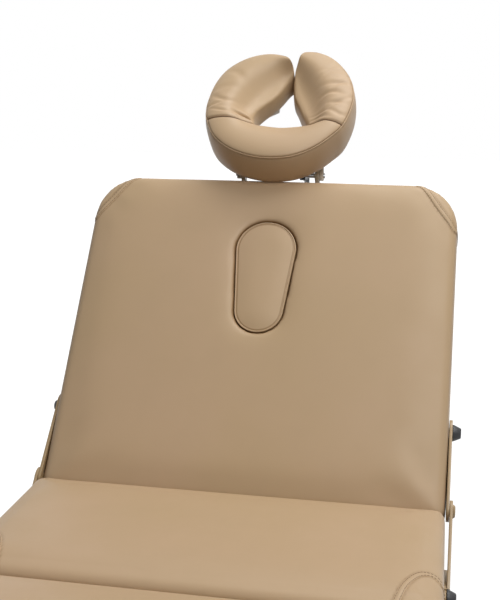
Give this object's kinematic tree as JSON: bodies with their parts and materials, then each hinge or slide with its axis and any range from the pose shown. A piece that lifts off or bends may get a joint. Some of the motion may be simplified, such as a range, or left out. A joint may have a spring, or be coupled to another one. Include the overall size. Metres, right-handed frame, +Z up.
{
  "type": "facial treatment bed",
  "caption": "Padded treatment bed in sections on a foot-pumped column, with a reclining backrest, dropping leg rest, breathing-hole plug and tilting face cradle.",
  "frame": {"origin": "on the floor, under the middle of the bed's box", "axes": "+X across the bed, +Y from the leg rest towards the head, +Z up; the backrest is raised at rest and the lift is at its lowest"},
  "size_m": [0.7436, 1.5676, 1.3578],
  "materials": {
    "vinyl": "smooth upholstery vinyl, semi-matt",
    "foam": "open-cell cushion foam",
    "plywood": "birch plywood, raw",
    "cream_paint": "cream powder coat",
    "dark_paint": "dark grey powder coat",
    "bright_steel": "zinc plated steel",
    "chrome": "hard chrome",
    "black_plastic": "moulded black plastic",
    "rubber": "moulded rubber"
  },
  "bodies": {
    "base": {"base_spine": "cream_paint", "base_foot_front": "cream_paint", "base_foot_rear": "cream_paint", "rubber_foot_front_left": "rubber", "rubber_foot_front_right": "rubber", "rubber_foot_rear_left": "rubber", "rubber_foot_rear_right": "rubber", "base_plate": "cream_paint", "pump_housing": "dark_paint", "column_cover": "cream_paint", "pedal_pin": "bright_steel"},
    "pedal": {"pump_pedal": "bright_steel", "pedal_pad": "rubber"},
    "plunger": {"pump_plunger": "bright_steel"},
    "lift": {"lift_ram": "chrome", "lift_head": "dark_paint", "upper_shroud": "cream_paint", "seat_rail_left": "cream_paint", "seat_rail_right": "cream_paint", "seat_cross_front": "cream_paint", "seat_cross_rear": "cream_paint", "seat_board": "plywood", "seat_foam": "foam", "seat_cover": "vinyl", "hinge_pin_left": "bright_steel", "hinge_pin_right": "bright_steel", "leg_pivot_shaft": "bright_steel"},
    "backrest": {"back_arm_left": "cream_paint", "back_arm_right": "cream_paint", "back_rail_left": "cream_paint", "back_rail_right": "cream_paint", "back_cross_lower": "cream_paint", "back_cross_upper": "cream_paint", "back_board": "plywood", "back_foam": "foam", "back_cover": "vinyl"},
    "back_spring_cylinder": {"back_spring_cylinder": "black_plastic"},
    "back_spring_rod": {"back_spring_rod": "chrome"},
    "leg_rest": {"leg_rail_left": "cream_paint", "leg_rail_right": "cream_paint", "leg_cross": "cream_paint", "leg_board": "plywood", "leg_foam": "foam", "leg_cover": "vinyl"},
    "leg_spring_cylinder": {"leg_spring_cylinder": "black_plastic"},
    "leg_spring_rod": {"leg_spring_rod": "chrome"},
    "plug": {"plug_pad": "vinyl", "plug_board": "plywood"},
    "cradle_slide": {"cradle_slide_frame": "cream_paint", "cradle_hinge_pin": "bright_steel"},
    "cradle_head": {"cradle_platform": "cream_paint", "cradle_cushion": "vinyl"},
    "cradle_cam_lever": {"cradle_cam_lever": "black_plastic"},
    "post_clamp_knob": {"post_clamp_knob": "black_plastic"},
    "back_release_lever": {"back_release_lever": "black_plastic"},
    "leg_release_lever": {"leg_release_lever": "black_plastic"},
    "seat_knob_left": {"seat_knob_left": "black_plastic"},
    "seat_knob_right": {"seat_knob_right": "black_plastic"},
    "back_knob_left": {"back_knob_left": "black_plastic"},
    "back_knob_right": {"back_knob_right": "black_plastic"}
  },
  "joints": [
    {"name": "lift_slide", "type": "slide", "parent": "base", "child": "lift", "axis": [0, 0, 1], "range_m": [0, 0.2]},
    {"name": "pedal_hinge", "type": "hinge", "parent": "base", "child": "pedal", "pos_m": [0.112, 0.02923, 0.1299], "axis": [0, 1, 0], "range_deg": [0, 20], "stiffness_Nm_per_rad": 8, "springref_deg": -34.38},
    {"name": "plunger_slide", "type": "slide", "parent": "base", "child": "plunger", "axis": [0, 0, 1], "range_m": [0, 0.0147]},
    {"name": "backrest_hinge", "type": "hinge", "parent": "lift", "child": "backrest", "pos_m": [0, 0.20923, 0.618], "axis": [1, 0, 0], "range_deg": [-53.5, 16.5]},
    {"name": "back_spring_pivot", "type": "hinge", "parent": "lift", "child": "back_spring_cylinder", "pos_m": [0, 0.22923, 0.48], "axis": [1, 0, 0], "range_deg": [-45.6, 14.1]},
    {"name": "back_spring_stroke", "type": "slide", "parent": "back_spring_cylinder", "child": "back_spring_rod", "axis": [0, 0.6913, 0.7226], "range_m": [-0.1137, 0.0351]},
    {"name": "leg_hinge", "type": "hinge", "parent": "lift", "child": "leg_rest", "pos_m": [0, -0.18077, 0.535], "axis": [1, 0, 0], "range_deg": [0, 50]},
    {"name": "leg_spring_pivot", "type": "hinge", "parent": "lift", "child": "leg_spring_cylinder", "pos_m": [0, -0.13577, 0.475], "axis": [1, 0, 0], "range_deg": [0, 45.2]},
    {"name": "leg_spring_stroke", "type": "slide", "parent": "leg_spring_cylinder", "child": "leg_spring_rod", "axis": [0, -0.9992, 0.0408], "range_m": [-0.0609, 0]},
    {"name": "plug_slide", "type": "slide", "parent": "backrest", "child": "plug", "axis": [0, -0.8039, 0.5948], "range_m": [0, 0.12]},
    {"name": "cradle_post_slide", "type": "slide", "parent": "backrest", "child": "cradle_slide", "axis": [0, 0.5948, 0.8039], "range_m": [0, 0.08]},
    {"name": "cradle_tilt", "type": "hinge", "parent": "cradle_slide", "child": "cradle_head", "pos_m": [0, 0.62498, 1.12269], "axis": [1, 0, 0], "range_deg": [-35, 0]},
    {"name": "cam_lever_hinge", "type": "hinge", "parent": "cradle_slide", "child": "cradle_cam_lever", "pos_m": [0.0455, 0.62498, 1.12269], "axis": [1, 0, 0], "range_deg": [0, 30]},
    {"name": "post_clamp_turn", "type": "hinge", "parent": "backrest", "child": "post_clamp_knob", "pos_m": [0.097, 0.57989, 0.96324], "axis": [0, -0.8039, 0.5948], "range_deg": [0, 720]},
    {"name": "back_release_hinge", "type": "hinge", "parent": "backrest", "child": "back_release_lever", "pos_m": [0.34, 0.51814, 0.88702], "axis": [1, 0, 0], "range_deg": [-20, 0], "stiffness_Nm_per_rad": 1.5, "springref_deg": 14.32},
    {"name": "leg_release_hinge", "type": "hinge", "parent": "leg_rest", "child": "leg_release_lever", "pos_m": [0.336, -0.33077, 0.5297], "axis": [1, 0, 0], "range_deg": [-20, 0], "stiffness_Nm_per_rad": 1.5, "springref_deg": 14.32},
    {"name": "seat_knob_left_turn", "type": "hinge", "parent": "lift", "child": "seat_knob_left", "pos_m": [-0.3568, 0.07923, 0.5297], "axis": [-1, 0, 0], "range_deg": [0, 720]},
    {"name": "back_knob_left_turn", "type": "hinge", "parent": "backrest", "child": "back_knob_left", "pos_m": [-0.3568, 0.32662, 0.71276], "axis": [-1, 0, 0], "range_deg": [0, 720]},
    {"name": "seat_knob_right_turn", "type": "hinge", "parent": "lift", "child": "seat_knob_right", "pos_m": [0.3568, 0.07923, 0.5297], "axis": [1, 0, 0], "range_deg": [0, 720]},
    {"name": "back_knob_right_turn", "type": "hinge", "parent": "backrest", "child": "back_knob_right", "pos_m": [0.3568, 0.32662, 0.71276], "axis": [1, 0, 0], "range_deg": [0, 720]}
  ],
  "couplings": [
    {"joint": "plunger_slide", "follows": "pedal_hinge", "m_per_rad": 0.042},
    {"joint": "back_spring_pivot", "follows": "backrest_hinge", "ratio": 0.8506},
    {"joint": "back_spring_stroke", "follows": "backrest_hinge", "m_per_rad": 0.12166},
    {"joint": "leg_spring_pivot", "follows": "leg_hinge", "ratio": 0.9032},
    {"joint": "leg_spring_stroke", "follows": "leg_hinge", "m_per_rad": -0.06967}
  ]
}
